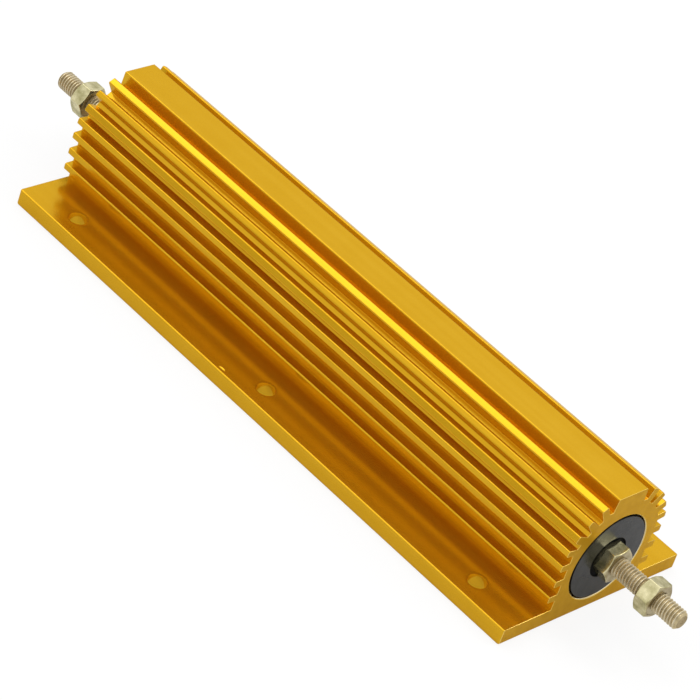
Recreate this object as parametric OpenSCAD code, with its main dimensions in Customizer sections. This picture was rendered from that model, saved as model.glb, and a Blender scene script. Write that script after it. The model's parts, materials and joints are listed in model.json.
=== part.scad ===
// Aluminium housed wirewound power resistor with a finned, extruded body.
// The origin is the middle of the underside of the mounting base.
// X runs along the body, Y across the base and Z is up.

/* [Body] */
// Length of the extruded body
body_l = 208; // [150:1:260]
// Metal left between the bore and the underside
floor_t = 3.6; // [2.5:0.1:5]
// Metal between the bore and the floors of the side grooves
side_wall = 3.2; // [2.4:0.1:4.4]
// Metal between the bore and the floors of the upper grooves
crown_wall = 4.6; // [3.6:0.1:5.6]
// Width of the 45 degree chamfer at each mouth of the bore
mouth_chamfer = 0.4; // [0.1:0.1:1]

/* [Mounting base] */
// Width across the two flanges
base_w = 72; // [60:1:90]
// Thickness of the flanges
base_t = 5.2; // [3:0.1:6.4]
// Radius of a mounting hole
hole_r = 2.9; // [2:0.1:3.5]
// From the end of the body to the centres of the end holes
hole_end = 18; // [10:0.5:30]
// From the middle of the body to the two middle holes, along the body
hole_middle = -1.3; // [-10:0.1:10]
// From the edge of a flange to the centres of its holes
hole_edge = 7.7; // [5:0.1:9.5]

/* [Flat rib on top] */
// Width of the flat top
rib_w = 11.6; // [9:0.1:13]
// Extra width at the foot of the rib
rib_flare = 0.9; // [0:0.1:1.2]
// Height of the flat top over the upper groove floors
rib_h = 3.7; // [2:0.1:6]
// Width of the flat groove on each side of the rib
rib_groove_w = 2.3; // [1.5:0.1:2.6]
// Drop of those grooves below the tops of the round groove floors
rib_groove_drop = 0.8; // [0.6:0.1:1.6]

/* [Cooling fins] */
// Where each upper fin stands, in degrees above level
crown_at = [63, 50, 37, 25];
// Which way each upper fin points, in degrees above level
crown_lean = [61.5, 44.5, 25, 6.5];
// Thickness of each upper fin at its root
crown_root = [2.2, 2.9, 2.65, 2.2];
// Thickness of each upper fin at its tip
crown_tip = [2.45, 2, 2.4, 2.1];
// How far each upper fin stands out
crown_h = [4.4, 4.15, 3.4, 3];
// Number of level fins on each side, below the upper ones
side_count = 3; // [1:1:3]
// Height of the first level fin above the middle of the bore
side_top = 3.1; // [2.6:0.1:3.6]
// Distance between the level fins
side_pitch = 5.55; // [4.6:0.05:5.8]
// Thickness of a level fin at its root
side_root = 2.4; // [1.6:0.1:3]
// Thickness of a level fin at its tip
side_tip = 2.2; // [1.4:0.1:2.6]
// How far a level fin stands out
side_h = 3.05; // [2:0.05:4]
// Width of the small chamfers along the edges of a fin
tip_chamfer = 0.3; // [0.1:0.05:0.6]

/* [Resistance element] */
// Radius of the bore that holds the element
bore_r = 14.1; // [11.8:0.1:17]
// Thickness of the filling around the winding
fill_t = 3.8; // [2.5:0.1:5]
// Depth of the turns of the winding
wire_h = 1.2; // [0.6:0.1:1.6]
// Distance from turn to turn of the winding
wire_pitch = 2.4; // [1.6:0.1:4]
// Wall thickness of the ceramic tube
core_wall = 4.5; // [3:0.1:5.5]
// From the end of the body to the end of the ceramic tube
core_setback = 13.2; // [12:0.1:18]
// Thickness of the metal caps on the ceramic tube
cap_t = 0.9; // [0.5:0.1:1.1]
// Length of a cap over the ceramic tube
cap_l = 12; // [8:0.5:16]

/* [End discs] */
// Thickness of an end disc
disc_t = 4; // [2.5:0.1:5]
// Gap between an end disc and the bore
disc_gap = 0.4; // [0.1:0.05:0.6]
// Depth of the recess in the face of an end disc
recess_depth = 0.7; // [0.3:0.1:1.2]
// Space around the corners of the nut in that recess
recess_gap = 0.85; // [0.3:0.05:1.5]

/* [Terminals] */
// Radius over the thread of a terminal stud
stud_r = 3; // [2.5:0.1:3.6]
// Depth from the crest to the middle of the thread
thread_half = 0.325; // [0.2:0.005:0.4]
// How far each stud stands out from the end of the body
stud_reach = 28.1; // [23:0.1:36]
// Width of the 45 degree chamfer at the tip of a stud
stud_chamfer = 0.9; // [0.3:0.1:1.2]
// Radius of the weld plate at the inner end of a stud
plate_r = 6; // [4.5:0.1:8]
// Thickness of that weld plate
plate_t = 2; // [1:0.1:3]
// Width across the flats of a nut
nut_af = 10; // [8.5:0.1:12]
// Thickness of a nut
nut_t = 5; // [4:0.1:6]
// Space between the two nuts at the right end
nut_space_right = 10.25; // [5:0.05:12]
// Space between the two nuts at the left end
nut_space_left = 9.4; // [5:0.05:12]
// Turn of the inner nut at the right end
inner_turn_right = 36; // [0:1:59]
// Turn of the outer nut at the right end
outer_turn_right = 17; // [0:1:59]
// Turn of the inner nut at the left end
inner_turn_left = 20; // [0:1:59]
// Turn of the outer nut at the left end
outer_turn_left = 36; // [0:1:59]

/* [Hidden] */
$fn = 96;
// How far a cutting tool runs past the metal it cuts
past = 1;
// How far the root of a fin reaches into the body
fin_root = 3;
// Share of the width across flats that is left on a nut's chamfered face
nut_face_share = 0.95;
// Slope of the chamfers on a nut, in degrees
nut_slope = 30;
// Width of the countersink at each end of a nut's thread
nut_sink = 0.2;
// Share of a turn's width that is flat at its crest
wire_flat_share = 0.4;

axis_z = floor_t + bore_r;
side_y = bore_r + side_wall;
crown_r = bore_r + crown_wall;
rib_foot_w = rib_w + rib_flare;
rib_top = crown_r + rib_h;
rib_groove_z = crown_r - rib_groove_drop;
hole_x = body_l / 2 - hole_end;
hole_y = base_w / 2 - hole_edge;
winding_r = bore_r - fill_t;
core_r = winding_r - wire_h;
core_hole_r = core_r - core_wall;
core_l = body_l - 2 * core_setback;
cap_r = core_r + cap_t;
winding_l = core_l - 2 * cap_l;
turns = floor(winding_l / wire_pitch);
turn_l = winding_l / turns;
plate_x = core_setback - cap_t;
pitch_r = stud_r - thread_half;
tip_r = stud_r - stud_chamfer;
disc_r = bore_r - disc_gap;
nut_corner_r = nut_af / 2 / cos(30);
nut_face_r = nut_face_share * nut_af / 2;
nut_cut_w = nut_corner_r - nut_face_r + past;
recess_r = nut_corner_r + recess_gap;
inner_nut_x = -recess_depth;
inner_nut_end = inner_nut_x + nut_t;
outer_nut_x_right = inner_nut_end + nut_space_right;
outer_nut_x_left = inner_nut_end + nut_space_left;

// One fin in section, standing out along the first axis from its root point.
module fin_section(root_w, tip_w, h) {
    polygon([
        [-fin_root, -root_w / 2],
        [0, -root_w / 2],
        [h - tip_chamfer, -tip_w / 2],
        [h, tip_chamfer - tip_w / 2],
        [h, tip_w / 2 - tip_chamfer],
        [h - tip_chamfer, tip_w / 2],
        [0, root_w / 2],
        [-fin_root, root_w / 2]
    ]);
}

// The fins and the half rib of one side, around the middle of the bore.
module half_section() {
    for (i = [0 : len(crown_at) - 1]) {
        translate([crown_r * cos(crown_at[i]), crown_r * sin(crown_at[i])])
            rotate(crown_lean[i])
                fin_section(crown_root[i], crown_tip[i], crown_h[i]);
    }
    for (i = [0 : side_count - 1]) {
        translate([side_y, side_top - i * side_pitch])
            fin_section(side_root, side_tip, side_h);
    }
    polygon([
        [0, 0],
        [rib_foot_w / 2 + rib_groove_w, 0],
        [rib_foot_w / 2 + rib_groove_w, rib_groove_z],
        [rib_foot_w / 2, rib_groove_z],
        [rib_w / 2, rib_top],
        [0, rib_top]
    ]);
}

// The whole section of the extrusion, without the bore.
module body_section() {
    translate([-base_w / 2, 0])
        square([base_w, base_t]);
    translate([-side_y, 0])
        square([2 * side_y, axis_z]);
    translate([0, axis_z]) {
        intersection() {
            circle(r = crown_r);
            translate([-side_y, 0])
                square([2 * side_y, crown_r]);
        }
        half_section();
        mirror([1, 0])
            half_section();
    }
}

// Turns a shape that stands on Z so that it points out of the right end.
module at_right_end() {
    translate([body_l / 2, 0, axis_z])
        rotate([0, 90, 0])
            children();
}

// The same for the left end.
module at_left_end() {
    translate([-body_l / 2, 0, axis_z])
        rotate([0, -90, 0])
            children();
}

// A round bar along the middle of the bore.
module middle_bar(r, l) {
    translate([0, 0, axis_z])
        rotate([0, 90, 0])
            cylinder(r = r, h = l, center = true);
}

// The tool that chamfers the mouth of the bore.
module mouth_cutter() {
    translate([0, 0, -mouth_chamfer])
        cylinder(r1 = bore_r, r2 = bore_r + mouth_chamfer + past, h = mouth_chamfer + past);
}

module housing() {
    color("goldenrod")
        difference() {
            rotate([90, 0, 90])
                linear_extrude(height = body_l, center = true)
                    body_section();
            middle_bar(bore_r, body_l + 2 * past);
            at_right_end()
                mouth_cutter();
            at_left_end()
                mouth_cutter();
            for (x = [-hole_x, hole_middle, hole_x], y = [-hole_y, hole_y]) {
                translate([x, y, -past])
                    cylinder(r = hole_r, h = base_t + 2 * past);
            }
        }
}

module ceramic_core() {
    color("ivory")
        difference() {
            middle_bar(core_r, core_l);
            middle_bar(core_hole_r, core_l + 2 * past);
        }
}

// The turns of the winding, side by side on the ceramic tube.
module resistance_winding() {
    flat_l = turn_l * wire_flat_share;
    slope_l = (turn_l - flat_l) / 2;
    crests = [
        for (i = [0 : turns - 1], p = [0 : 3])
            [
                p == 0 || p == 3 ? core_r + wire_h / 4 : winding_r,
                i * turn_l + (p == 0 ? 0 : p == 1 ? slope_l : p == 2 ? slope_l + flat_l : turn_l)
            ]
    ];
    color("silver")
        translate([-winding_l / 2, 0, axis_z])
            rotate([0, 90, 0])
                rotate_extrude()
                    polygon(concat([[core_r, 0]], crests, [[core_r, winding_l]]));
}

// The filling takes up the bore between the end discs, around the element.
module filling() {
    color("lightgray")
        difference() {
            middle_bar(bore_r, body_l - 2 * disc_t);
            middle_bar(winding_r, winding_l);
            middle_bar(cap_r, body_l - 2 * plate_x);
            middle_bar(plate_r, body_l - 2 * (plate_x - plate_t));
            middle_bar(stud_r, body_l);
        }
}

// A pressed cup over the end of the ceramic tube.
module core_cap() {
    color("lightsteelblue")
        translate([0, 0, -core_setback - cap_l])
            difference() {
                cylinder(r = cap_r, h = cap_l + cap_t);
                translate([0, 0, -past])
                    cylinder(r = core_r, h = cap_l + past);
            }
}

module core_cap_right() {
    at_right_end()
        core_cap();
}

module core_cap_left() {
    at_left_end()
        core_cap();
}

// A round closure around the stud, with a recess for the inner nut.
module end_disc() {
    color("dimgray")
        translate([0, 0, -disc_t])
            difference() {
                cylinder(r = disc_r, h = disc_t);
                translate([0, 0, -past])
                    cylinder(r = stud_r, h = disc_t + 2 * past);
                translate([0, 0, disc_t - recess_depth])
                    cylinder(r = recess_r, h = recess_depth + past);
            }
}

module end_disc_right() {
    at_right_end()
        end_disc();
}

module end_disc_left() {
    at_left_end()
        end_disc();
}

// A stud welded to the cap. Inside a nut it narrows to the middle of the thread.
module terminal_stud(outer_nut_x) {
    color("tan")
        rotate_extrude()
            polygon([
                [0, -plate_x],
                [plate_r, -plate_x],
                [plate_r, plate_t - plate_x],
                [stud_r, plate_t - plate_x],
                [stud_r, inner_nut_x],
                [pitch_r, inner_nut_x],
                [pitch_r, inner_nut_end],
                [stud_r, inner_nut_end],
                [stud_r, outer_nut_x],
                [pitch_r, outer_nut_x],
                [pitch_r, outer_nut_x + nut_t],
                [stud_r, outer_nut_x + nut_t],
                [stud_r, stud_reach - stud_chamfer],
                [tip_r, stud_reach],
                [0, stud_reach]
            ]);
}

module terminal_stud_right() {
    at_right_end()
        terminal_stud(outer_nut_x_right);
}

module terminal_stud_left() {
    at_left_end()
        terminal_stud(outer_nut_x_left);
}

// A hexagon nut, chamfered on both faces, that starts at x along the stud.
module nut(x, turn) {
    cone_r = nut_face_r + nut_cut_w;
    cone_h = nut_cut_w * tan(nut_slope);
    sink_r = stud_r + nut_sink;
    sink_h = (sink_r - pitch_r) / 2;
    color("darkkhaki")
        translate([0, 0, x])
            rotate(turn)
                difference() {
                    intersection() {
                        cylinder(r = nut_corner_r, h = nut_t, $fn = 6);
                        rotate_extrude()
                            polygon([
                                [0, 0],
                                [nut_face_r, 0],
                                [cone_r, cone_h],
                                [cone_r, nut_t - cone_h],
                                [nut_face_r, nut_t],
                                [0, nut_t]
                            ]);
                    }
                    translate([0, 0, -past])
                        cylinder(r = pitch_r, h = nut_t + 2 * past);
                    cylinder(r1 = sink_r, r2 = pitch_r, h = sink_h);
                    translate([0, 0, nut_t - sink_h])
                        cylinder(r1 = pitch_r, r2 = sink_r, h = sink_h);
                }
}

module inner_nut_right() {
    at_right_end()
        nut(inner_nut_x, inner_turn_right);
}

module inner_nut_left() {
    at_left_end()
        nut(inner_nut_x, inner_turn_left);
}

module outer_nut_right() {
    at_right_end()
        nut(outer_nut_x_right, outer_turn_right);
}

module outer_nut_left() {
    at_left_end()
        nut(outer_nut_x_left, outer_turn_left);
}

housing();
ceramic_core();
resistance_winding();
filling();
core_cap_right();
core_cap_left();
end_disc_right();
end_disc_left();
terminal_stud_right();
terminal_stud_left();
inner_nut_right();
inner_nut_left();
outer_nut_right();
outer_nut_left();
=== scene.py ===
import json
import math

import bmesh
import bpy
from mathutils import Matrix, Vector

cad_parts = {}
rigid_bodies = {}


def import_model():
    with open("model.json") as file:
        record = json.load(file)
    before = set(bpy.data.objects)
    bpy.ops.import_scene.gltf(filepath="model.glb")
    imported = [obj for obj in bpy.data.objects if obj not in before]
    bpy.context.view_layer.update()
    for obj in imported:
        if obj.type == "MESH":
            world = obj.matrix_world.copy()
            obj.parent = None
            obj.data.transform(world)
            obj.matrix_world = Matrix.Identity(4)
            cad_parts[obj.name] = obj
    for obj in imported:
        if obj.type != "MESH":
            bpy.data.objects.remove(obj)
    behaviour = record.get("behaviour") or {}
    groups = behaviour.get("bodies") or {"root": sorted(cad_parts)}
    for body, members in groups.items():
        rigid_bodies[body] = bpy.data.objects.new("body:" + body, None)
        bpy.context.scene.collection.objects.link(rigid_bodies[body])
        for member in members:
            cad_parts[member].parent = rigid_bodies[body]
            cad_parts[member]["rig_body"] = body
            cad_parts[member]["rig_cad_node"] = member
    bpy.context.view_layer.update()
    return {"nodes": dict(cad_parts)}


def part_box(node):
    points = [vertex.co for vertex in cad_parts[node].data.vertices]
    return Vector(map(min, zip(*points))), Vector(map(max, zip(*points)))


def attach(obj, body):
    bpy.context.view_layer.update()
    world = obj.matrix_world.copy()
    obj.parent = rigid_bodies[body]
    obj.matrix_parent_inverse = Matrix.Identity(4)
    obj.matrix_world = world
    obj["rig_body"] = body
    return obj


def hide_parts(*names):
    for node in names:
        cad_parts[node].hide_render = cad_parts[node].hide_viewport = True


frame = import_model()

MM = 0.001
QUARTER_TURN = math.pi / 2
HALF_TURN = math.pi

# Sizes that the boxes of the frame give.
housing_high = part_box("housing")[1]
stud_low, stud_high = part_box("terminal_stud_right")
disc_low, disc_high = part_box("end_disc_right")
winding_low, winding_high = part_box("resistance_winding")
BODY_END = housing_high.x
BASE_EDGE = housing_high.y
AXIS_Z = (stud_low.z + stud_high.z) / 2
DISC_R = (disc_high.y - disc_low.y) / 2
DISC_BACK = disc_low.x
DISC_GAP = 0.4 * MM
BORE_R = DISC_R + DISC_GAP

# Sizes of the pieces. Those that the part's source also holds follow it, the recess rounded.
BASE_T = 5.2 * MM
RIB_HALF_W = 5.8 * MM
SCREW_HOLE_R = 2.9 * MM
SCREW_HOLE_Y = BASE_EDGE - 7.7 * MM
SCREW_HOLE_XS = (-86 * MM, -1.3 * MM, 86 * MM)
RECESS_R = 6.62 * MM
RECESS_DEPTH = 0.7 * MM
STUD_R = 3.0 * MM
STUD_CHAMFER = 0.9 * MM
THREAD_PITCH = 1.0 * MM
THREAD_DEPTH = 0.5 * MM
THREAD_START = BODY_END - 3 * MM
PLATE_R = 6.0 * MM
PLATE_T = 2.0 * MM
NUT_ACROSS_FLATS = 10.0 * MM
NUT_FACE_R = 4.75 * MM
NUT_HOLE_R = 2.675 * MM
NUT_SLOPE = math.radians(30)
NUT_SINK = 0.2 * MM
# Turn of each nut, in degrees.
NUT_TURNS = {
    "inner_nut_right": 6,
    "outer_nut_right": -13,
    "inner_nut_left": 10,
    "outer_nut_left": -6,
}
WIRE_R = 0.6 * MM
WIRE_PITCH = 2.4 * MM

# Sizes of the finish: broken edges, burrs and small marks.
SOFT_EDGE = 0.15 * MM
DISC_SOFT_EDGE = 0.12 * MM
CORNER_ROUND = 0.6 * MM
TOP_ROUND = 0.4 * MM
DISH_W = 1.1 * MM
DISH_DEPTH = 0.16 * MM
BURR_W = 0.12 * MM
BARE_MOUTH_W = 0.22 * MM
BARE_MOUTH_DEPTH = 0.3 * MM
DENT_PLACE = (-13.6 * MM, -BASE_EDGE + 1.35 * MM)
DENT_SIZE = (1.9 * MM, 1.0 * MM, 0.6 * MM)
DENT_DEPTH = 0.2 * MM

# Sides of a round shape, and the distances that count as one place.
ROUND = 96
MERGE = 0.002 * MM
NEAR = MERGE * 10

# The ranges that noise mostly fills, and the sockets of a node that mixes colors.
NOISE_MIDDLE = (0.35, 0.65)
NOISE_MOST = (0.3, 0.7)
MIX_FIRST = 6
MIX_SECOND = 7
MIX_RESULT = 2

# Where the camera and the lamps stand, in metres, and how they are set.
CAMERA_PLACE = (0.467, -0.65, 0.5645)
CAMERA_TURN = (53.8, -15.8, 46.9)
CAMERA_LENS = 176.5
LAMP_AIM = Vector((0.02, 0, 0.03))
FLOOR_SIZE = 12


# ---- Working in Blender ---------------------------------------------------


def nothing_selected():
    if bpy.context.object and bpy.context.object.mode != "OBJECT":
        bpy.ops.object.mode_set(mode="OBJECT")
    bpy.ops.object.select_all(action="DESELECT")


def work_on(piece):
    nothing_selected()
    piece.select_set(True)
    bpy.context.view_layer.objects.active = piece


def open_mesh(piece, mode="FACE"):
    work_on(piece)
    bpy.ops.object.mode_set(mode="EDIT")
    bpy.ops.mesh.select_mode(type=mode)
    bpy.ops.mesh.select_all(action="DESELECT")


def close_mesh():
    bpy.ops.object.mode_set(mode="OBJECT")


def pick_faces(piece, wanted):
    """Selects the faces whose middle and normal pass the test."""
    mesh = bmesh.from_edit_mesh(piece.data)
    for face in mesh.faces:
        face.select_set(wanted(face.calc_center_median(), face.normal))
    bmesh.update_edit_mesh(piece.data)


def pick_edges(piece, wanted):
    """Selects the edges whose two ends pass the test."""
    mesh = bmesh.from_edit_mesh(piece.data)
    for edge in mesh.edges:
        edge.select_set(wanted(edge.verts[0].co, edge.verts[1].co))
    bmesh.update_edit_mesh(piece.data)


def pick_points(piece, wanted):
    """Selects the points whose place passes the test."""
    mesh = bmesh.from_edit_mesh(piece.data)
    for point in mesh.verts:
        point.select_set(wanted(point.co))
    bmesh.update_edit_mesh(piece.data)


def put_in_mesh(piece):
    work_on(piece)
    bpy.ops.object.transform_apply(location=True, rotation=True, scale=True)


def apply_modifier(piece, modifier):
    work_on(piece)
    bpy.ops.object.modifier_apply(modifier=modifier.name)


def join_solids(piece, tool, operation):
    """Cuts, joins or trims a piece with a second solid, which is used up."""
    modifier = piece.modifiers.new("solids", "BOOLEAN")
    modifier.operation = operation
    modifier.solver = "EXACT"
    modifier.object = tool
    apply_modifier(piece, modifier)
    bpy.data.objects.remove(tool)


def soften_edges(piece, width, segments=2, angle=25):
    modifier = piece.modifiers.new("soft_edges", "BEVEL")
    modifier.width = width
    modifier.segments = segments
    modifier.limit_method = "ANGLE"
    modifier.angle_limit = math.radians(angle)
    modifier.use_clamp_overlap = False
    apply_modifier(piece, modifier)


def close_up(piece):
    """Merges doubled points, drops slivers and fills what they leave open."""
    open_mesh(piece, "VERT")
    bpy.ops.mesh.select_all(action="SELECT")
    bpy.ops.mesh.remove_doubles(threshold=MERGE)
    bpy.ops.mesh.dissolve_degenerate(threshold=MERGE)
    bpy.ops.mesh.select_all(action="DESELECT")
    bpy.ops.mesh.select_non_manifold()
    bpy.ops.mesh.fill_holes(sides=0)
    close_mesh()


def shade_smooth(piece, angle=30):
    """Smooth shading in which the large flat faces stay flat."""
    work_on(piece)
    bpy.ops.object.shade_smooth_by_angle(angle=math.radians(angle))
    modifier = piece.modifiers.new("flat_faces", "WEIGHTED_NORMAL")
    modifier.mode = "FACE_AREA"
    modifier.weight = 100
    modifier.keep_sharp = True
    apply_modifier(piece, modifier)


def turn_mesh(piece, angle, axis):
    """Turns a piece's mesh about the body's middle line or its upright."""
    open_mesh(piece)
    bpy.ops.mesh.select_all(action="SELECT")
    bpy.ops.transform.rotate(
        value=-angle,
        orient_axis=axis,
        orient_type="GLOBAL",
        center_override=(0, 0, AXIS_Z),
    )
    close_mesh()


def copy_piece(piece, name):
    """A second piece with its own mesh."""
    work_on(piece)
    bpy.ops.object.duplicate()
    twin = bpy.context.active_object
    twin.name = name
    twin.data.name = name
    return twin


def copy_of_cad(node, name):
    """A clean, merged copy of a construction node, to be finished here."""
    piece = copy_piece(frame["nodes"][node], name)
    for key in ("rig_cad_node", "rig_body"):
        del piece[key]
    piece.parent = None
    open_mesh(piece)
    bpy.ops.mesh.select_all(action="SELECT")
    bpy.ops.mesh.remove_doubles(threshold=MERGE)
    bpy.ops.mesh.dissolve_limited(angle_limit=math.radians(0.5))
    close_mesh()
    return piece


def bar_along_x(name, x, radius, length, vertices=ROUND):
    """A round or many-sided bar on the body's middle line, from x outwards."""
    nothing_selected()
    bpy.ops.mesh.primitive_cylinder_add(
        vertices=vertices,
        radius=radius,
        depth=length,
        location=(x + length / 2, 0, AXIS_Z),
        rotation=(0, QUARTER_TURN, 0),
    )
    piece = bpy.context.active_object
    piece.name = name
    put_in_mesh(piece)
    return piece


def grow_end(piece, x, length, scale):
    """Extrudes the end face at x along the bar and widens or narrows it."""
    open_mesh(piece)
    pick_faces(piece, lambda middle, normal: abs(middle.x - x) < MERGE * 5 and abs(normal.x) > 0.9)
    bpy.ops.mesh.extrude_region_move(TRANSFORM_OT_translate={"value": (length, 0, 0)})
    bpy.ops.transform.resize(value=(1, scale, scale), center_override=(x, 0, AXIS_Z))
    close_mesh()


# ---- Materials -------------------------------------------------------------


def add_node(tree, kind, **settings):
    node = tree.nodes.new(kind)
    for key, value in settings.items():
        setattr(node, key, value)
    return node


def new_group(name, inputs, outputs):
    """A node group with named sockets: (name, kind) pairs, where kind is Float, Vector or Color."""
    group = bpy.data.node_groups.new(name, "ShaderNodeTree")
    for socket, kind in inputs:
        group.interface.new_socket(socket, in_out="INPUT", socket_type="NodeSocket" + kind)
    for socket, kind in outputs:
        group.interface.new_socket(socket, in_out="OUTPUT", socket_type="NodeSocket" + kind)
    start = group.nodes.new("NodeGroupInput")
    end = group.nodes.new("NodeGroupOutput")
    return group, start, end


def make_streak_group():
    """Long thin streaks along X, as a die leaves them: Along and Across are per metre."""
    group, start, end = new_group(
        "lengthwise_streaks",
        [("Place", "Vector"), ("Along", "Float"), ("Across", "Float")],
        [("Streaks", "Float")],
    )
    scale = add_node(group, "ShaderNodeCombineXYZ")
    stretch = add_node(group, "ShaderNodeVectorMath", operation="MULTIPLY")
    noise = add_node(group, "ShaderNodeTexNoise")
    noise.inputs["Scale"].default_value = 1
    noise.inputs["Detail"].default_value = 2
    group.links.new(start.outputs["Along"], scale.inputs["X"])
    group.links.new(start.outputs["Across"], scale.inputs["Y"])
    group.links.new(start.outputs["Across"], scale.inputs["Z"])
    group.links.new(start.outputs["Place"], stretch.inputs[0])
    group.links.new(scale.outputs[0], stretch.inputs[1])
    group.links.new(stretch.outputs[0], noise.inputs["Vector"])
    group.links.new(noise.outputs["Fac"], end.inputs["Streaks"])
    return group


def make_mottle_group():
    """Clouds and nine times finer specks, both around a half: Size is per metre."""
    group, start, end = new_group(
        "mottle",
        [("Place", "Vector"), ("Size", "Float")],
        [("Clouds", "Float"), ("Specks", "Float")],
    )
    clouds = add_node(group, "ShaderNodeTexNoise")
    clouds.inputs["Detail"].default_value = 4
    specks = add_node(group, "ShaderNodeTexNoise")
    specks.inputs["Detail"].default_value = 1
    finer = add_node(group, "ShaderNodeMath", operation="MULTIPLY")
    finer.inputs[1].default_value = 9
    group.links.new(start.outputs["Place"], clouds.inputs["Vector"])
    group.links.new(start.outputs["Place"], specks.inputs["Vector"])
    group.links.new(start.outputs["Size"], clouds.inputs["Scale"])
    group.links.new(start.outputs["Size"], finer.inputs[0])
    group.links.new(finer.outputs[0], specks.inputs["Scale"])
    group.links.new(clouds.outputs["Fac"], end.inputs["Clouds"])
    group.links.new(specks.outputs["Fac"], end.inputs["Specks"])
    return group


def make_axis_group():
    """Distance of a place from the body's middle line, which lies at the given Height."""
    group, start, end = new_group(
        "distance_from_axis",
        [("Place", "Vector"), ("Height", "Float")],
        [("Distance", "Float")],
    )
    parts = add_node(group, "ShaderNodeSeparateXYZ")
    rise = add_node(group, "ShaderNodeMath", operation="SUBTRACT")
    across = add_node(group, "ShaderNodeCombineXYZ")
    length = add_node(group, "ShaderNodeVectorMath", operation="LENGTH")
    group.links.new(start.outputs["Place"], parts.inputs[0])
    group.links.new(parts.outputs["Z"], rise.inputs[0])
    group.links.new(start.outputs["Height"], rise.inputs[1])
    group.links.new(parts.outputs["Y"], across.inputs["Y"])
    group.links.new(rise.outputs[0], across.inputs["Z"])
    group.links.new(across.outputs[0], length.inputs[0])
    group.links.new(length.outputs["Value"], end.inputs["Distance"])
    return group


def make_end_face_group():
    """One where the Facing direction runs along X, nought where it lies across."""
    group, start, end = new_group("end_faces", [("Facing", "Vector")], [("Ends", "Float")])
    parts = add_node(group, "ShaderNodeSeparateXYZ")
    size = add_node(group, "ShaderNodeMath", operation="ABSOLUTE")
    mask = add_node(group, "ShaderNodeMapRange")
    mask.inputs["From Min"].default_value = 0.6
    mask.inputs["From Max"].default_value = 0.95
    group.links.new(start.outputs["Facing"], parts.inputs[0])
    group.links.new(parts.outputs["X"], size.inputs[0])
    group.links.new(size.outputs[0], mask.inputs["Value"])
    group.links.new(mask.outputs["Result"], end.inputs["Ends"])
    return group


streak_group = make_streak_group()
mottle_group = make_mottle_group()
axis_group = make_axis_group()
end_face_group = make_end_face_group()


class Finish:
    """A material and the short words that its nodes are written with."""

    def __init__(self, name, metallic, roughness, color):
        self.material = bpy.data.materials.new(name)
        self.material.use_nodes = True
        self.tree = self.material.node_tree
        self.surface = self.tree.nodes["Principled BSDF"]
        self.surface.inputs["Metallic"].default_value = metallic
        self.surface.inputs["Roughness"].default_value = roughness
        self.surface.inputs["Base Color"].default_value = (*color, 1)
        self.place = self.tree.nodes.new("ShaderNodeTexCoord").outputs["Object"]

    def join(self, source, target):
        self.tree.links.new(source, target)

    def streaks(self, along, across):
        node = add_node(self.tree, "ShaderNodeGroup", node_tree=streak_group)
        node.inputs["Along"].default_value = along
        node.inputs["Across"].default_value = across
        self.join(self.place, node.inputs["Place"])
        return node.outputs["Streaks"]

    def mottle(self, size):
        node = add_node(self.tree, "ShaderNodeGroup", node_tree=mottle_group)
        node.inputs["Size"].default_value = size
        self.join(self.place, node.inputs["Place"])
        return node.outputs["Clouds"], node.outputs["Specks"]

    def spread(self, value, old_range, new_low, new_high):
        """Maps a value from its old range to a new one, clamped."""
        node = add_node(self.tree, "ShaderNodeMapRange")
        self.join(value, node.inputs["Value"])
        node.inputs["From Min"].default_value = old_range[0]
        node.inputs["From Max"].default_value = old_range[1]
        node.inputs["To Min"].default_value = new_low
        node.inputs["To Max"].default_value = new_high
        return node.outputs["Result"]

    def sums(self, operation, first, second=0):
        """One step of arithmetic: the values are sockets or numbers."""
        node = add_node(self.tree, "ShaderNodeMath", operation=operation)
        for value, socket in ((first, node.inputs[0]), (second, node.inputs[1])):
            if isinstance(value, (int, float)):
                socket.default_value = value
            else:
                self.join(value, socket)
        return node.outputs[0]

    def blend_colors(self, share, first, second):
        node = add_node(self.tree, "ShaderNodeMix", data_type="RGBA")
        self.join(share, node.inputs["Factor"])
        for value, index in ((first, MIX_FIRST), (second, MIX_SECOND)):
            if isinstance(value, tuple):
                node.inputs[index].default_value = (*value, 1)
            else:
                self.join(value, node.inputs[index])
        return node.outputs[MIX_RESULT]

    def color(self, value):
        self.join(value, self.surface.inputs["Base Color"])

    def roughness(self, value):
        self.join(value, self.surface.inputs["Roughness"])

    def relief(self, height, depth):
        bump = add_node(self.tree, "ShaderNodeBump")
        bump.inputs["Distance"].default_value = depth
        self.join(height, bump.inputs["Height"])
        self.join(bump.outputs["Normal"], self.surface.inputs["Normal"])

    def along_and_across(self):
        node = self.tree.nodes.new("ShaderNodeSeparateXYZ")
        self.join(self.place, node.inputs[0])
        return node.outputs["X"], node.outputs["Y"]

    def from_axis(self):
        node = add_node(self.tree, "ShaderNodeGroup", node_tree=axis_group)
        node.inputs["Height"].default_value = AXIS_Z
        self.join(self.place, node.inputs["Place"])
        return node.outputs["Distance"]

    def near(self, value, target, reach):
        """One where the value is within reach of the target, else nought."""
        away = self.sums("ABSOLUTE", self.sums("SUBTRACT", value, target))
        return self.sums("LESS_THAN", away, reach)

    def facing_ends(self):
        node = add_node(self.tree, "ShaderNodeGroup", node_tree=end_face_group)
        coordinates = self.tree.nodes.new("ShaderNodeTexCoord")
        self.join(coordinates.outputs["Normal"], node.inputs["Facing"])
        return node.outputs["Ends"]


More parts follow.
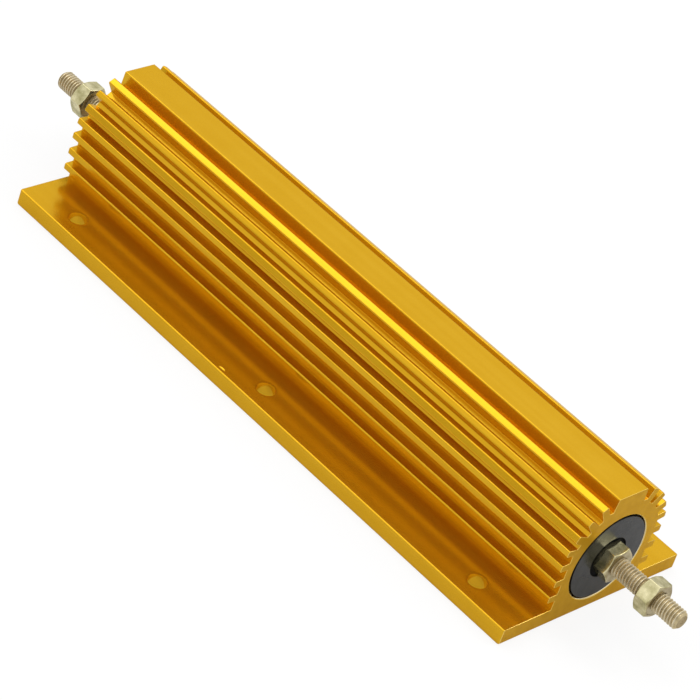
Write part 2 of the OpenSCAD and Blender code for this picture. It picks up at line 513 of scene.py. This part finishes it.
def gold_anodised():
    """Clear gold anodising over drawn aluminium, with matt sawn ends, bare burrs and painted light on
    the screw hole walls.
    """
    finish = Finish("gold_anodised", 0.82, 0.22, (0.7, 0.38, 0.01))
    finish.surface.inputs["Specular IOR Level"].default_value = 0.3
    finish.surface.inputs["Specular Tint"].default_value = (1, 0.82, 0.36, 1)
    finish.surface.inputs["Coat Weight"].default_value = 0.12
    finish.surface.inputs["Coat Roughness"].default_value = 0.15
    x, y = finish.along_and_across()
    clouds, specks = finish.mottle(300)
    patches, _ = finish.mottle(90)
    wide = finish.streaks(5, 420)
    fine = finish.streaks(30, 6000)
    lines = finish.spread(wide, NOISE_MIDDLE, 0, 0.45)
    dots = finish.spread(specks, NOISE_MIDDLE, 0, 0.25)
    areas = finish.spread(patches, NOISE_MIDDLE, 0, 0.3)
    tone = finish.sums("ADD", finish.sums("ADD", lines, dots), areas)
    drawn = finish.blend_colors(tone, (0.68, 0.37, 0.007), (0.73, 0.415, 0.016))

    # The walls of the screw holes are painted a lighter gold, which stands in for light inside the
    # holes: painted light.
    hole_y = finish.sums("SUBTRACT", finish.sums("ABSOLUTE", y), SCREW_HOLE_Y)
    hole_y_square = finish.sums("MULTIPLY", hole_y, hole_y)
    in_hole = None
    for hole_x in SCREW_HOLE_XS:
        across = finish.sums("SUBTRACT", x, hole_x)
        square = finish.sums("ADD", finish.sums("MULTIPLY", across, across), hole_y_square)
        inside = finish.sums("LESS_THAN", finish.sums("SQRT", square), SCREW_HOLE_R + 0.02 * MM)
        in_hole = finish.sums("MAXIMUM", in_hole, inside) if in_hole else inside
    drawn = finish.blend_colors(in_hole, drawn, (0.94, 0.61, 0.03))

    cloudy = finish.spread(clouds, NOISE_MIDDLE, 0, 1)
    sawn = finish.blend_colors(cloudy, (0.555, 0.3, 0.013), (0.605, 0.34, 0.021))
    end_x = finish.sums("ABSOLUTE", x)
    at_end = finish.sums("GREATER_THAN", end_x, BODY_END - 0.03 * MM)
    on_burr = finish.sums("GREATER_THAN", end_x, BODY_END - BURR_W)
    at_mouth = finish.near(finish.from_axis(), BORE_R, BARE_MOUTH_W)
    outermost = finish.sums("GREATER_THAN", end_x, BODY_END - BARE_MOUTH_DEPTH)
    bare = finish.sums("MULTIPLY", at_mouth, outermost)
    burred = finish.blend_colors(on_burr, drawn, (0.86, 0.6, 0.14))
    ends = finish.blend_colors(at_end, burred, sawn)
    finish.color(finish.blend_colors(bare, ends, (0.86, 0.78, 0.56)))

    satin = finish.spread(specks, NOISE_MOST, 0.18, 0.25)
    drilled = finish.sums("SUBTRACT", 1, finish.sums("MULTIPLY", in_hole, 0.55))
    gloss = finish.sums("MULTIPLY", satin, drilled)
    finish.roughness(finish.sums("MAXIMUM", gloss, finish.sums("MULTIPLY", at_end, 0.5)))
    finish.relief(finish.sums("ADD", fine, specks), 0.004 * MM)
    return finish.material


def moulded_compound():
    """Black moulding compound with an uneven, half-glossy skin and a dull recess, painted near black as
    shade around the inner nut.
    """
    finish = Finish("moulded_compound", 0, 0.25, (0.013, 0.013, 0.016))
    finish.surface.inputs["Specular IOR Level"].default_value = 0.2
    clouds, specks = finish.mottle(350)
    patches, _ = finish.mottle(140)
    cloudy = finish.spread(clouds, NOISE_MIDDLE, 0, 0.4)
    speckled = finish.spread(specks, NOISE_MIDDLE, 0, 0.6)
    grain = finish.sums("ADD", cloudy, speckled)
    skin = finish.blend_colors(grain, (0.002, 0.003, 0.005), (0.028, 0.027, 0.023))
    # The recess is painted near black: painted shade around the inner nut. Its high roughness is real.
    in_recess = finish.sums("LESS_THAN", finish.from_axis(), RECESS_R + 0.02 * MM)
    finish.color(finish.blend_colors(in_recess, skin, (0.003, 0.003, 0.003)))
    gloss = finish.spread(patches, NOISE_MIDDLE, 0.16, 0.34)
    finish.roughness(finish.sums("MAXIMUM", gloss, finish.sums("MULTIPLY", in_recess, 0.9)))
    finish.relief(finish.sums("ADD", clouds, finish.sums("MULTIPLY", specks, 0.3)), 0.06 * MM)
    return finish.material


def yellow_zinc():
    """Yellow passivated zinc plate on the nuts, with the end faces painted darker and browner as shade.
    """
    finish = Finish("yellow_zinc", 0.95, 0.2, (0.7, 0.66, 0.36))
    clouds, specks = finish.mottle(350)
    cloudy = finish.spread(clouds, NOISE_MIDDLE, 0, 1)
    flats = finish.blend_colors(cloudy, (0.43, 0.39, 0.18), (0.82, 0.75, 0.45))
    # The end faces are painted darker and browner: painted shade. Their higher roughness is real.
    end_face_shade = finish.blend_colors(cloudy, (0.31, 0.24, 0.11), (0.54, 0.47, 0.29))
    ends = finish.facing_ends()
    finish.color(finish.blend_colors(ends, flats, end_face_shade))
    satin = finish.spread(specks, NOISE_MOST, 0.13, 0.22)
    finish.roughness(finish.sums("ADD", satin, finish.sums("MULTIPLY", ends, 0.15)))

    # Turning leaves fine rings on the end faces.
    rings = finish.sums("SINE", finish.sums("MULTIPLY", finish.from_axis(), 20000))
    end_rings = finish.sums("MULTIPLY", finish.sums("MULTIPLY", rings, ends), 0.1)
    finish.relief(finish.sums("ADD", clouds, end_rings), 0.035 * MM)
    return finish.material


def rolled_thread():
    """Dull plated steel, painted darker in the thread's roots and on its end faces as shade."""
    finish = Finish("rolled_thread", 0.68, 0.3, (0.7, 0.6, 0.42))
    finish.surface.inputs["Specular Tint"].default_value = (1, 0.88, 0.62, 1)
    clouds, specks = finish.mottle(420)
    # The roots are painted darker than the crests: painted shade in the thread's hollows.
    depth = finish.spread(finish.from_axis(), (STUD_R - THREAD_DEPTH, STUD_R - 0.1 * MM), 0, 1)
    cloudy = finish.spread(clouds, NOISE_MIDDLE, 0, 1)
    crest = finish.blend_colors(cloudy, (0.79, 0.68, 0.46), (0.97, 0.88, 0.64))
    root = finish.blend_colors(cloudy, (0.53, 0.43, 0.23), (0.7, 0.58, 0.34))
    # The end faces are painted darker: painted shade.
    end_face_shade = finish.blend_colors(cloudy, (0.22, 0.17, 0.09), (0.38, 0.3, 0.18))
    threaded = finish.blend_colors(depth, root, crest)
    finish.color(finish.blend_colors(finish.facing_ends(), threaded, end_face_shade))
    finish.roughness(finish.spread(specks, NOISE_MOST, 0.22, 0.38))
    finish.relief(finish.sums("ADD", specks, clouds), 0.01 * MM)
    return finish.material


def plain_inner(name, metallic, roughness, dark, light, size):
    """The finish of a piece that the housing hides."""
    finish = Finish(name, metallic, roughness, dark)
    clouds, specks = finish.mottle(size)
    finish.color(finish.blend_colors(clouds, dark, light))
    finish.roughness(finish.spread(specks, NOISE_MOST, roughness - 0.06, roughness + 0.06))
    finish.relief(specks, 0.01 * MM)
    return finish.material


# ---- Pieces ----------------------------------------------------------------


def finish_piece(piece, node, material):
    """Gives a finished piece its material and its place in the frame."""
    piece.data.materials.clear()
    piece.data.materials.append(material)
    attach(piece, "root")
    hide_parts(node)


def make_dish_cutter():
    """Cones that deburr the mouth of each screw hole to a wide, very shallow dish."""
    slope = DISH_DEPTH / DISH_W
    inner_r = SCREW_HOLE_R * 0.8
    outer_r = SCREW_HOLE_R + DISH_W * 2
    low_z = BASE_T - DISH_DEPTH - (SCREW_HOLE_R - inner_r) * slope
    height = (outer_r - inner_r) * slope
    cones = []
    for x in SCREW_HOLE_XS:
        for y in (-SCREW_HOLE_Y, SCREW_HOLE_Y):
            nothing_selected()
            bpy.ops.mesh.primitive_cone_add(
                vertices=ROUND,
                radius1=inner_r,
                radius2=outer_r,
                depth=height,
                location=(x, y, low_z + height / 2),
            )
            cones.append(bpy.context.active_object)
    for cone in cones:
        cone.select_set(True)
    bpy.ops.object.join()
    cutter = bpy.context.active_object
    put_in_mesh(cutter)
    return cutter


def make_scoop():
    """A flat ellipsoid that leaves the small dent near the front flange's edge."""
    nothing_selected()
    bpy.ops.mesh.primitive_uv_sphere_add(
        segments=32,
        ring_count=16,
        radius=1,
        location=(*DENT_PLACE, BASE_T + DENT_SIZE[2] - DENT_DEPTH),
        scale=DENT_SIZE,
    )
    scoop = bpy.context.active_object
    put_in_mesh(scoop)
    return scoop


def make_housing(material):
    """The extrusion: the construction's own section, with its edges broken."""
    housing = copy_of_cad("housing", "finned_housing")

    def at_base_corner(place):
        return abs(abs(place.x) - BODY_END) < NEAR and abs(abs(place.y) - BASE_EDGE) < NEAR

    def on_long_edge(a, b):
        along = abs(a.x - b.x) > BODY_END and max(abs(a.y - b.y), abs(a.z - b.z)) < NEAR
        on_flange = abs(abs(a.y) - BASE_EDGE) < NEAR and abs(a.z - BASE_T) < NEAR
        on_rib = abs(abs(a.y) - RIB_HALF_W) < NEAR and abs(a.z - housing_high.z) < NEAR
        return along and (on_flange or on_rib)

    open_mesh(housing, "EDGE")
    pick_edges(housing, lambda a, b: at_base_corner(a) and at_base_corner(b))
    bpy.ops.mesh.bevel(offset=CORNER_ROUND, segments=4)
    bpy.ops.mesh.select_all(action="DESELECT")
    pick_edges(housing, on_long_edge)
    bpy.ops.mesh.bevel(offset=TOP_ROUND, segments=4)
    close_mesh()
    soften_edges(housing, SOFT_EDGE)

    # Softening pushes some points past the flanges' edges, so they are set back flush.
    for side in (-BASE_EDGE, BASE_EDGE):
        open_mesh(housing, "VERT")
        pick_points(housing, lambda place: place.y / side > 1)
        bpy.ops.transform.resize(value=(1, 0, 1), center_override=(0, side, 0))
        close_mesh()

    join_solids(housing, make_dish_cutter(), "DIFFERENCE")
    join_solids(housing, make_scoop(), "DIFFERENCE")
    close_up(housing)
    shade_smooth(housing)
    finish_piece(housing, "housing", material)


def make_nut(node, turn, material):
    """A hexagon nut with both faces chamfered and a plain hole with sunk mouths."""
    low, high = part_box(node)
    thickness = high.x - low.x
    corner_r = NUT_ACROSS_FLATS / 2 / math.cos(math.radians(30))
    nut = bar_along_x("hex_" + node, low.x, corner_r, thickness, vertices=6)

    cone_w = corner_r - NUT_FACE_R + 1 * MM
    cone_h = cone_w * math.tan(NUT_SLOPE)
    cone_r = NUT_FACE_R + cone_w
    cone = bar_along_x("chamfer", low.x + cone_h, cone_r, thickness - 2 * cone_h)
    grow_end(cone, low.x + cone_h, -cone_h, NUT_FACE_R / cone_r)
    grow_end(cone, high.x - cone_h, cone_h, NUT_FACE_R / cone_r)
    join_solids(nut, cone, "INTERSECT")

    over = 0.5 * MM
    sink_h = (STUD_R + NUT_SINK - NUT_HOLE_R) / 2
    mouth_scale = (NUT_HOLE_R + (sink_h + over) * 2) / NUT_HOLE_R
    hole = bar_along_x("hole", low.x + sink_h, NUT_HOLE_R, thickness - 2 * sink_h)
    grow_end(hole, low.x + sink_h, -sink_h - over, mouth_scale)
    grow_end(hole, high.x - sink_h, sink_h + over, mouth_scale)
    join_solids(nut, hole, "DIFFERENCE")

    turn_mesh(nut, math.radians(turn), "X")
    close_up(nut)
    soften_edges(nut, SOFT_EDGE, 3)
    close_up(nut)
    shade_smooth(nut)
    finish_piece(nut, node, material)


def make_end_disc():
    """The moulded closure of the bore, recessed for the inner nut. The stud's hole is left out."""
    disc = bar_along_x("end_closure_right", DISC_BACK, DISC_R, BODY_END - DISC_BACK)
    open_mesh(disc)
    pick_faces(disc, lambda middle, normal: normal.x > 0.9)
    bpy.ops.mesh.inset(thickness=DISC_R - RECESS_R)
    bpy.ops.mesh.extrude_region_move(TRANSFORM_OT_translate={"value": (-RECESS_DEPTH, 0, 0)})
    close_mesh()
    soften_edges(disc, DISC_SOFT_EDGE)
    shade_smooth(disc)
    return disc


def make_thread(name, x_start, x_end):
    """A right-hand thread: one tooth's outline, screwed along the middle line."""
    first_x = x_start - THREAD_PITCH * 1.5
    turns = int((x_end - x_start) / THREAD_PITCH) + 3
    flank = THREAD_PITCH * 0.375
    crest = THREAD_PITCH * 0.125
    root = THREAD_PITCH - 2 * flank - crest
    nothing_selected()
    bpy.ops.mesh.primitive_plane_add(size=MM, location=(0, 0, 0))
    thread = bpy.context.active_object
    thread.name = name
    open_mesh(thread, "VERT")
    bpy.ops.mesh.select_all(action="SELECT")
    bpy.ops.mesh.merge(type="CENTER")
    bpy.ops.mesh.select_all(action="SELECT")
    bpy.ops.transform.translate(value=(first_x, 0, STUD_R - THREAD_DEPTH))
    for along, rise in ((flank, THREAD_DEPTH), (crest, 0), (flank, -THREAD_DEPTH), (root, 0)):
        bpy.ops.mesh.extrude_region_move(TRANSFORM_OT_translate={"value": (along, 0, rise)})
    close_mesh()
    screw = thread.modifiers.new("screw", "SCREW")
    screw.axis = "X"
    screw.screw_offset = THREAD_PITCH
    screw.iterations = turns
    screw.steps = 32
    screw.render_steps = 32
    apply_modifier(thread, screw)
    open_mesh(thread, "VERT")
    bpy.ops.mesh.select_all(action="SELECT")
    bpy.ops.mesh.remove_doubles(threshold=MERGE * 5)

    # Each end is closed by the tooth's own outline and a fan over the core.
    for tooth_x in (first_x, first_x + turns * THREAD_PITCH):
        pick_points(
            thread,
            lambda place: abs(place.y) < NEAR
            and place.z > 0
            and -NEAR < place.x - tooth_x < THREAD_PITCH + NEAR,
        )
        bpy.ops.mesh.edge_face_add()
    bpy.ops.mesh.select_all(action="DESELECT")
    bpy.ops.mesh.select_non_manifold()
    bpy.ops.mesh.fill_holes(sides=0)
    bpy.ops.mesh.select_mode(type="FACE")
    pick_faces(thread, lambda middle, normal: math.hypot(middle.y, middle.z) < STUD_R / 3)
    bpy.ops.mesh.poke()
    bpy.ops.mesh.select_all(action="SELECT")
    bpy.ops.mesh.normals_make_consistent(inside=False)
    bpy.ops.transform.translate(value=(0, 0, AXIS_Z))
    close_mesh()
    return thread


def make_stud():
    """The right terminal: a threaded stud on a shank with a round weld plate."""
    tip_x = stud_high.x
    stud = make_thread("threaded_stud_right", THREAD_START, tip_x)
    clear = 0.2 * MM
    cone_x = tip_x - STUD_CHAMFER - clear
    trim = bar_along_x("trim", THREAD_START, STUD_R + clear, cone_x - THREAD_START)
    grow_end(trim, cone_x, tip_x - cone_x, (STUD_R - STUD_CHAMFER) / (STUD_R + clear))
    join_solids(stud, trim, "INTERSECT")

    shank = bar_along_x("shank", stud_low.x, PLATE_R, PLATE_T)
    open_mesh(shank)
    pick_faces(shank, lambda middle, normal: normal.x > 0.9)
    bpy.ops.mesh.inset(thickness=PLATE_R - STUD_R * 0.9)
    reach = THREAD_START + THREAD_PITCH / 4 - stud_low.x - PLATE_T
    bpy.ops.mesh.extrude_region_move(TRANSFORM_OT_translate={"value": (reach, 0, 0)})
    close_mesh()
    join_solids(stud, shank, "UNION")
    close_up(stud)
    shade_smooth(stud, 35)
    return stud


def make_winding(material):
    """Resistance wire, wound as one open helix on the ceramic core."""
    turns = int((winding_high.x - winding_low.x - 2 * WIRE_R) / WIRE_PITCH)
    start_x = -turns * WIRE_PITCH / 2
    nothing_selected()
    bpy.ops.mesh.primitive_circle_add(
        vertices=10,
        radius=WIRE_R,
        location=(start_x, 0, winding_high.z - AXIS_Z - WIRE_R),
        rotation=(QUARTER_TURN, 0, 0),
    )
    wire = bpy.context.active_object
    wire.name = "wound_wire"
    put_in_mesh(wire)
    screw = wire.modifiers.new("winding", "SCREW")
    screw.axis = "X"
    screw.screw_offset = WIRE_PITCH
    screw.iterations = turns
    screw.steps = 48
    screw.render_steps = 48
    apply_modifier(wire, screw)
    open_mesh(wire, "VERT")
    bpy.ops.mesh.select_all(action="SELECT")
    bpy.ops.mesh.remove_doubles(threshold=MERGE * 5)
    bpy.ops.mesh.select_all(action="DESELECT")
    bpy.ops.mesh.select_non_manifold()
    bpy.ops.mesh.fill_holes(sides=0)
    bpy.ops.mesh.select_all(action="SELECT")
    bpy.ops.mesh.normals_make_consistent(inside=False)
    bpy.ops.transform.translate(value=(0, 0, AXIS_Z))
    close_mesh()
    shade_smooth(wire, 60)
    finish_piece(wire, "resistance_winding", material)


def make_pair(piece, left_name, nodes, material):
    """Copies a right-hand piece to the left end and finishes both."""
    left = copy_piece(piece, left_name)
    turn_mesh(left, HALF_TURN, "Z")
    finish_piece(piece, nodes[0], material)
    finish_piece(left, nodes[1], material)


def dress_inner_nodes():
    """The pieces inside the bore keep their construction and get their finish."""
    finishes = {
        "ceramic_core": plain_inner("core_ceramic", 0, 0.5, (0.72, 0.68, 0.58), (0.8, 0.77, 0.68), 400),
        "filling": plain_inner("filling_cement", 0, 0.8, (0.42, 0.38, 0.32), (0.52, 0.48, 0.42), 900),
    }
    steel = plain_inner("cap_steel", 1, 0.35, (0.5, 0.49, 0.47), (0.6, 0.59, 0.57), 300)
    finishes["core_cap_right"] = steel
    finishes["core_cap_left"] = steel
    for node, material in finishes.items():
        mesh = frame["nodes"][node].data
        mesh.materials.clear()
        mesh.materials.append(material)


# ---- Stage -----------------------------------------------------------------


def make_floor():
    """A pale floor that looks white and keeps the object's shadow."""
    nothing_selected()
    bpy.ops.mesh.primitive_plane_add(size=FLOOR_SIZE, location=(0, 0, 0))
    floor = bpy.context.active_object
    floor.name = "floor"
    material = bpy.data.materials.new("pale_floor")
    material.use_nodes = True
    tree = material.node_tree
    tree.nodes.clear()
    paper = add_node(tree, "ShaderNodeBsdfDiffuse")
    tone = add_node(tree, "ShaderNodeMapRange")
    tone.inputs["To Min"].default_value = 0.75
    tone.inputs["To Max"].default_value = 0.96
    white = add_node(tree, "ShaderNodeEmission")
    white.inputs["Strength"].default_value = 1
    path = add_node(tree, "ShaderNodeLightPath")
    seen = add_node(tree, "ShaderNodeMath", operation="MULTIPLY")
    seen.inputs[1].default_value = 0.85
    mirrored = add_node(tree, "ShaderNodeMath", operation="MAXIMUM")
    mirrored_share = add_node(tree, "ShaderNodeMath", operation="MULTIPLY")
    mirrored_share.inputs[1].default_value = 0.15
    share = add_node(tree, "ShaderNodeMath", operation="MAXIMUM")
    mix = add_node(tree, "ShaderNodeMixShader")
    out = add_node(tree, "ShaderNodeOutputMaterial")
    tree.links.new(path.outputs["Is Camera Ray"], seen.inputs[0])
    tree.links.new(path.outputs["Is Camera Ray"], tone.inputs["Value"])
    tree.links.new(tone.outputs["Result"], paper.inputs["Color"])
    tree.links.new(path.outputs["Is Glossy Ray"], mirrored.inputs[0])
    tree.links.new(path.outputs["Is Transmission Ray"], mirrored.inputs[1])
    tree.links.new(mirrored.outputs[0], mirrored_share.inputs[0])
    tree.links.new(seen.outputs[0], share.inputs[0])
    tree.links.new(mirrored_share.outputs[0], share.inputs[1])
    tree.links.new(share.outputs[0], mix.inputs["Fac"])
    tree.links.new(paper.outputs[0], mix.inputs[1])
    tree.links.new(white.outputs[0], mix.inputs[2])
    tree.links.new(mix.outputs[0], out.inputs["Surface"])
    floor.data.materials.append(material)


def add_softbox(name, place, width, length, energy):
    """A soft rectangular lamp aimed at the object."""
    bpy.ops.object.light_add(type="AREA", location=place)
    softbox = bpy.context.active_object
    softbox.name = name
    softbox.data.shape = "RECTANGLE"
    softbox.data.size = width
    softbox.data.size_y = length
    softbox.data.energy = energy
    aim = LAMP_AIM - softbox.location
    softbox.rotation_euler = aim.to_track_quat("-Z", "Y").to_euler()


def make_light():
    """An even pale room, a large softbox overhead and a small one past the right end."""
    world = bpy.context.scene.world or bpy.data.worlds.new("room")
    bpy.context.scene.world = world
    world.use_nodes = True
    tree = world.node_tree
    room = tree.nodes["Background"]
    room.inputs["Color"].default_value = (1, 1, 1, 1)
    sky = tree.nodes.new("ShaderNodeTexCoord")
    up = tree.nodes.new("ShaderNodeSeparateXYZ")
    rise = tree.nodes.new("ShaderNodeMapRange")
    rise.inputs["From Min"].default_value = 0.2
    rise.inputs["From Max"].default_value = 0.65
    rise.inputs["To Min"].default_value = 0.66
    rise.inputs["To Max"].default_value = 1.05
    tree.links.new(sky.outputs["Object"], up.inputs[0])
    tree.links.new(up.outputs["Z"], rise.inputs["Value"])
    tree.links.new(rise.outputs["Result"], room.inputs["Strength"])
    add_softbox("softbox", (-0.53, -0.03, 1.06), 0.5, 1.0, 2.1)
    add_softbox("end_softbox", (0.42, 0.62, 0.8), 0.35, 0.35, 1.4)


def make_camera():
    bpy.ops.object.camera_add(
        location=CAMERA_PLACE,
        rotation=[math.radians(angle) for angle in CAMERA_TURN],
    )
    camera = bpy.context.active_object
    camera.data.sensor_width = 36
    camera.data.lens = CAMERA_LENS
    camera.data.clip_end = 50
    bpy.context.scene.camera = camera


make_camera()
gold = gold_anodised()
zinc = yellow_zinc()
thread_steel = rolled_thread()
compound = moulded_compound()
wire_metal = plain_inner("resistance_alloy", 1, 0.35, (0.42, 0.38, 0.34), (0.5, 0.46, 0.42), 600)

make_housing(gold)
for node, turn in NUT_TURNS.items():
    make_nut(node, turn, zinc)
make_pair(
    make_end_disc(), "end_closure_left", ("end_disc_right", "end_disc_left"), compound
)
make_pair(
    make_stud(),
    "threaded_stud_left",
    ("terminal_stud_right", "terminal_stud_left"),
    thread_steel,
)
make_winding(wire_metal)
dress_inner_nodes()
make_floor()
make_light()
bpy.context.scene.view_settings.view_transform = "Standard"
